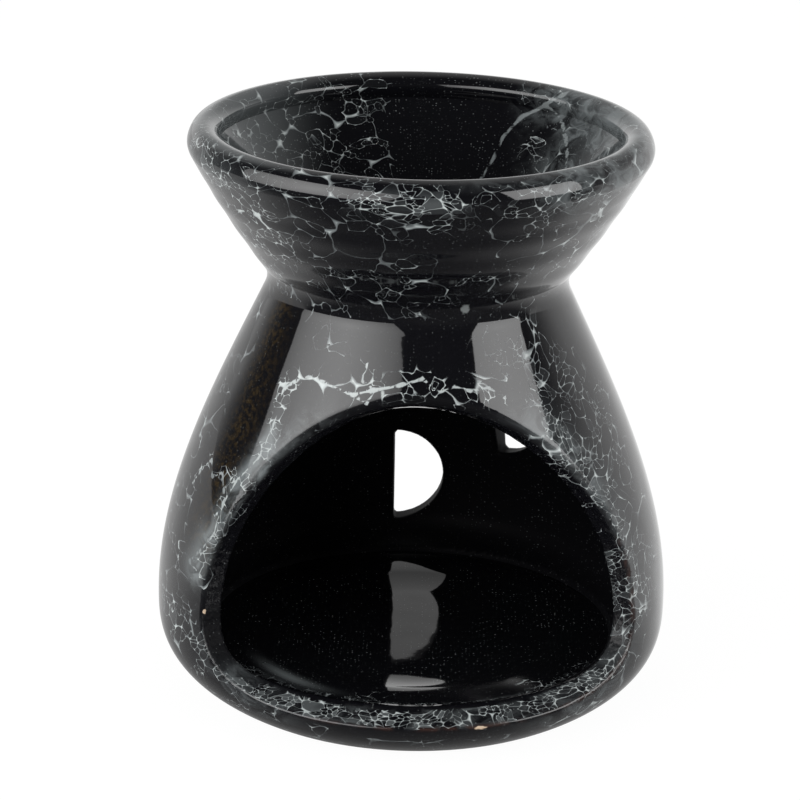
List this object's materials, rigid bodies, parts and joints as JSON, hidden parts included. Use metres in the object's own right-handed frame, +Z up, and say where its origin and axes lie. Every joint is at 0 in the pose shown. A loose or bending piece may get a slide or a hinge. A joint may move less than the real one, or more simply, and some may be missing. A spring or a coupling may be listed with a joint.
{
  "type": "oil burner",
  "caption": "Glazed ceramic essential oil burner: a flared oil dish over a bell-shaped tea light chamber with an arched doorway and half-moon vents.",
  "frame": {"origin": "on the standing plane, at the centre of the round foot; the object's box is centred there to within a millimetre, because the doorway takes away the belly's frontmost line", "axes": "+Z up through the dish, -Y out of the doorway, +X to the right of someone facing the doorway"},
  "size_m": [0.0856, 0.0843, 0.0961],
  "materials": {
    "foot_clay": "dark clay, glazed on the chamber side and bare on the foot ring",
    "chamber_glaze": "glossy black glaze with a net of white bubble veins",
    "dish_glaze": "glossy black glaze with a net of white bubble veins"
  },
  "bodies": {
    "root": {"chamber_floor": "foot_clay", "chamber_wall": "chamber_glaze", "oil_dish": "dish_glaze"}
  },
  "joints": []
}
